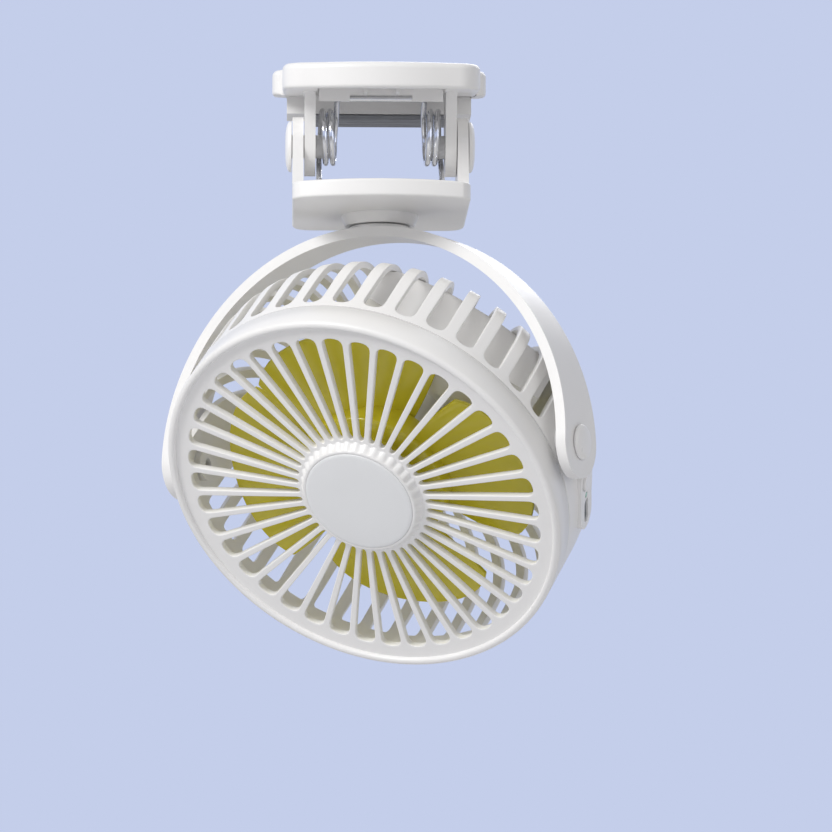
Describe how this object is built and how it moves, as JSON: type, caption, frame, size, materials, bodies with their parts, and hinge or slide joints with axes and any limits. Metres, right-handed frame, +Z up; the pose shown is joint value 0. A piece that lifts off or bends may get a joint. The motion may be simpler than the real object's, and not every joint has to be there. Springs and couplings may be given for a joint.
{
  "type": "clip fan",
  "caption": "Small round-headed fan in a half-hoop yoke that turns on a post under a sprung clamp, for hanging from the edge of a shelf.",
  "frame": {"origin": "middle of the top face of the pad on the lower jaw, where the underside of a shelf rests", "axes": "+Z up, -Y towards the clamp's handles and the viewer, +Y towards the jaws' open end, +X to the right seen from the handles"},
  "size_m": [0.1486, 0.1324, 0.2073],
  "materials": {
    "white_plastic": "satin",
    "white_cap": "semi-gloss",
    "grip_rubber": "matte",
    "spring_wire": "bright",
    "screw_steel": "satin",
    "washer_plastic": "matte",
    "disc_plastic": "satin",
    "black_plastic": "matte",
    "light_lens": "gloss",
    "board_green": "satin",
    "cell_wrap": "gloss",
    "motor_steel": "satin",
    "blade_green": "semi-gloss",
    "bush_brass": "satin"
  },
  "bodies": {
    "lower_clamp": {"lower_jaw": "white_plastic", "lower_jaw_pad": "grip_rubber", "clamp_pin_right": "white_cap", "clamp_pin_left": "white_cap", "clamp_spring": "spring_wire"},
    "upper_clamp": {"upper_jaw": "white_plastic", "upper_jaw_pad": "grip_rubber"},
    "yoke_arm": {"yoke": "white_plastic", "swivel_washer": "washer_plastic", "swivel_screw": "screw_steel", "pivot_cap_right": "white_cap", "pivot_cap_left": "white_cap", "pivot_screw_right": "screw_steel", "pivot_screw_left": "screw_steel", "pivot_washer_right": "washer_plastic", "pivot_washer_left": "washer_plastic"},
    "head": {"front_grille": "white_plastic", "hub_disc": "disc_plastic", "rear_housing": "white_plastic", "control_panel": "white_cap", "button_switch": "black_plastic", "charge_socket": "screw_steel", "charge_light": "light_lens", "circuit_board": "board_green", "battery_box": "white_plastic", "battery": "cell_wrap", "motor_can": "motor_steel", "motor_holder": "white_plastic"},
    "rotor": {"impeller": "blade_green", "shaft_bush": "bush_brass", "motor_shaft": "screw_steel"},
    "button": {"power_button": "white_cap"}
  },
  "joints": [
    {"name": "clamp_hinge", "type": "hinge", "parent": "lower_clamp", "child": "upper_clamp", "pos_m": [0, -0.025, 0.0162], "axis": [1, 0, 0], "range_deg": [-50, 20], "stiffness_Nm_per_rad": 0.3, "deforming": ["clamp_spring"]},
    {"name": "swivel", "type": "hinge", "parent": "lower_clamp", "child": "yoke_arm", "pos_m": [0, -0.019, -0.012], "axis": [0, 0, 1], "continuous": true},
    {"name": "head_tilt", "type": "hinge", "parent": "yoke_arm", "child": "head", "pos_m": [-0.00145, -0.02162, -0.0899], "axis": [0.8746, -0.4848, 0], "range_deg": [-100, 70]},
    {"name": "impeller_spin", "type": "hinge", "parent": "head", "child": "rotor", "pos_m": [0.00028, -0.0185, -0.09408], "axis": [-0.3687, -0.6651, -0.6494], "continuous": true},
    {"name": "button_press", "type": "slide", "parent": "head", "child": "button", "axis": [-0.9285, 0.2976, 0.2223], "range_m": [0, 0.00025], "stiffness_N_per_m": 400}
  ]
}
